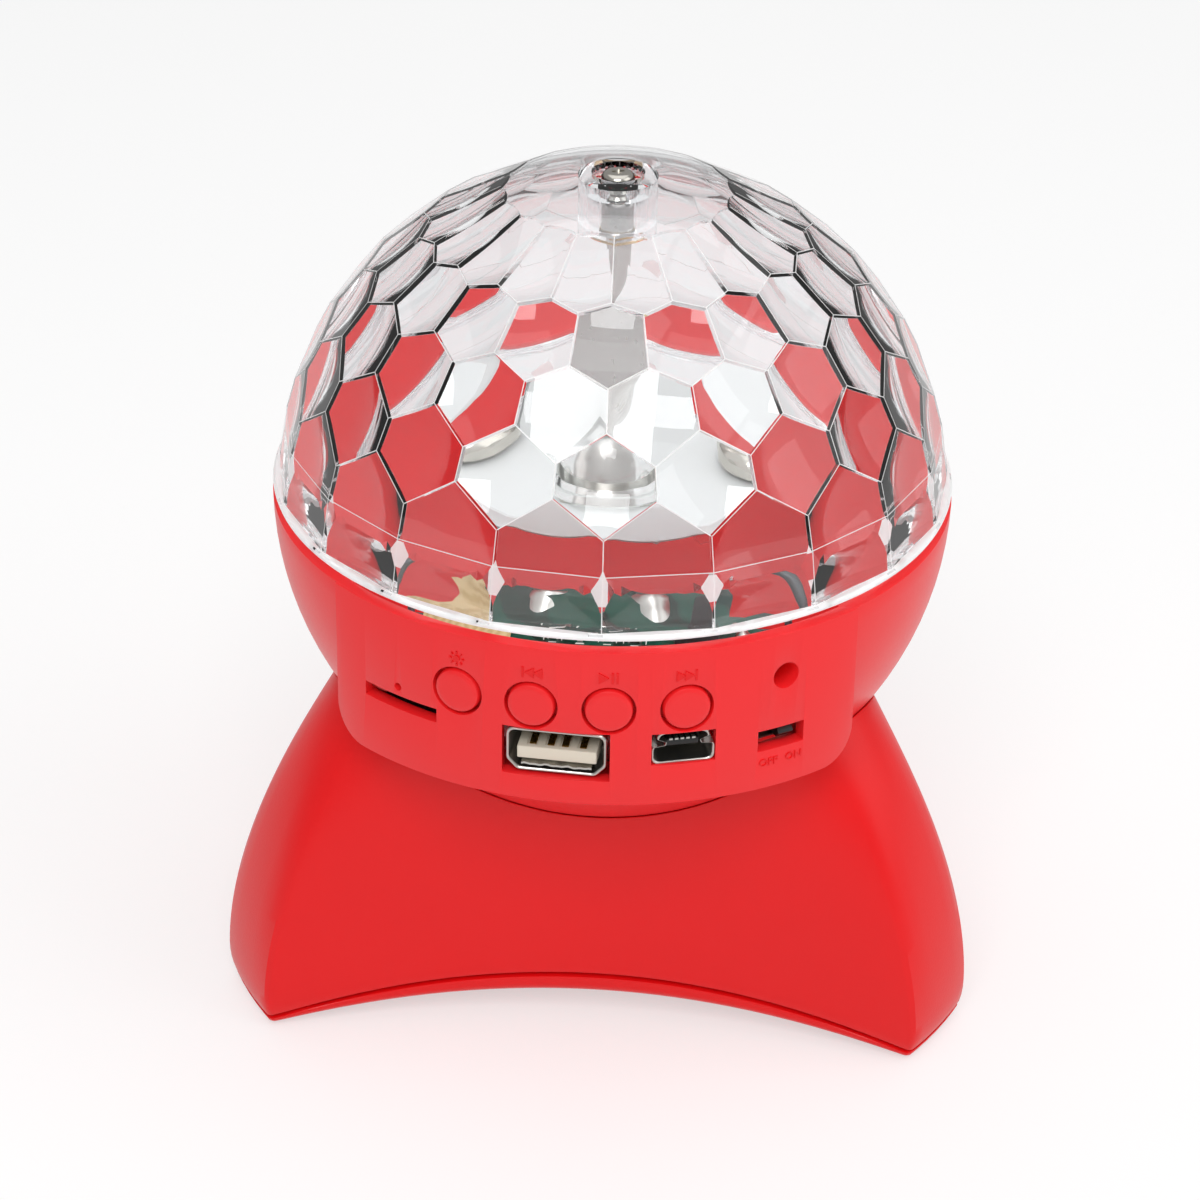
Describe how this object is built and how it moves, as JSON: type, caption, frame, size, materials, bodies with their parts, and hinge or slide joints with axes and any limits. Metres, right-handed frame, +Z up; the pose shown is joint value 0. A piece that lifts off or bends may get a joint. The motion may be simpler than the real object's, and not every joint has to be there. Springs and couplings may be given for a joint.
{
  "type": "bluetooth speaker lamp",
  "caption": "Clear faceted dome turned over coloured lamps on a round bowl with a curved control panel, on a flared three-cornered stand that holds a speaker.",
  "frame": {"origin": "on the floor under the middle of the part's box", "axes": "+Z up along the dome's axis, -Y out of the control panel's middle"},
  "size_m": [0.1114, 0.1115, 0.1255],
  "materials": {
    "red_abs": "fine spark-eroded texture",
    "red_button_abs": "satin",
    "clear_polystyrene": "clear and glossy",
    "white_abs": "satin",
    "black_rubber": "matte",
    "nickelled_steel": "nickel plated",
    "brass": "turned",
    "tinned_steel": "tin plated",
    "socket_white": "satin",
    "black_plastic": "satin",
    "green_solder_mask": "solder mask",
    "black_paper": "matte",
    "ferrite": "ground",
    "masking_tape": "matte",
    "battery_foil": "satin",
    "red_wire": "insulation",
    "black_wire": "insulation",
    "grey_wire": "insulation",
    "clear_epoxy": "clear, moulded"
  },
  "bodies": {
    "base": {"bowl_shell": "red_abs", "stand_shell": "red_abs", "bottom_cover": "red_abs", "gear_motor": "nickelled_steel", "lamp_housing": "white_abs", "led_board": "white_abs", "red_led": "clear_epoxy", "green_led": "clear_epoxy", "blue_led": "clear_epoxy", "lamp_screw_1": "nickelled_steel", "lamp_screw_2": "nickelled_steel", "lamp_screw_3": "nickelled_steel", "rubber_foot_1": "black_rubber", "rubber_foot_2": "black_rubber", "rubber_foot_3": "black_rubber", "cover_screw_1": "nickelled_steel", "cover_screw_2": "nickelled_steel", "cover_screw_3": "nickelled_steel", "stand_screw_1": "nickelled_steel", "stand_screw_2": "nickelled_steel", "stand_screw_3": "nickelled_steel", "speaker_basket": "nickelled_steel", "speaker_cone": "black_paper", "speaker_magnet": "ferrite", "main_pcb": "green_solder_mask", "pcb_screw_1": "nickelled_steel", "pcb_screw_2": "nickelled_steel", "tact_switch_1": "black_plastic", "tact_switch_2": "black_plastic", "tact_switch_3": "black_plastic", "tact_switch_4": "black_plastic", "usb_shell": "tinned_steel", "usb_tongue": "socket_white", "mini_usb_shell": "tinned_steel", "mini_usb_tongue": "black_plastic", "card_socket": "tinned_steel", "slide_switch": "tinned_steel", "bluetooth_chip": "black_plastic", "wire_tape": "masking_tape", "battery": "battery_foil", "lamp_wire_red": "red_wire", "motor_wire_red": "red_wire", "battery_wire_red": "red_wire", "speaker_wire_red": "red_wire", "motor_wire_black": "black_wire", "battery_wire_black": "black_wire", "speaker_wire_black": "black_wire", "lamp_wire_grey": "grey_wire"},
    "spinning_dome": {"dome": "clear_polystyrene", "dome_screw": "nickelled_steel", "brass_insert": "brass", "drive_column": "nickelled_steel", "motor_shaft": "nickelled_steel"},
    "lamp_push": {"lamp_button": "red_button_abs"},
    "previous_push": {"previous_button": "red_button_abs"},
    "play_push": {"play_button": "red_button_abs"},
    "next_push": {"next_button": "red_button_abs"},
    "power_slider": {"power_lever": "black_plastic"}
  },
  "joints": [
    {"name": "dome_spin", "type": "hinge", "parent": "base", "child": "spinning_dome", "pos_m": [0, -0.00502, 0.0766], "axis": [0, 0, 1], "continuous": true},
    {"name": "lamp_button_press", "type": "slide", "parent": "base", "child": "lamp_push", "axis": [0.36, 0.933, 0], "range_m": [0, 0.0005], "stiffness_N_per_m": 400},
    {"name": "previous_button_press", "type": "slide", "parent": "base", "child": "previous_push", "axis": [0.1538, 0.9881, 0], "range_m": [0, 0.0005], "stiffness_N_per_m": 400},
    {"name": "play_button_press", "type": "slide", "parent": "base", "child": "play_push", "axis": [-0.0593, 0.9982, 0], "range_m": [0, 0.0005], "stiffness_N_per_m": 400},
    {"name": "next_button_press", "type": "slide", "parent": "base", "child": "next_push", "axis": [-0.2698, 0.9629, 0], "range_m": [0, 0.0005], "stiffness_N_per_m": 400},
    {"name": "power_switch_slide", "type": "slide", "parent": "base", "child": "power_slider", "axis": [-0.8499, -0.527, 0], "range_m": [0, 0.0024]}
  ]
}
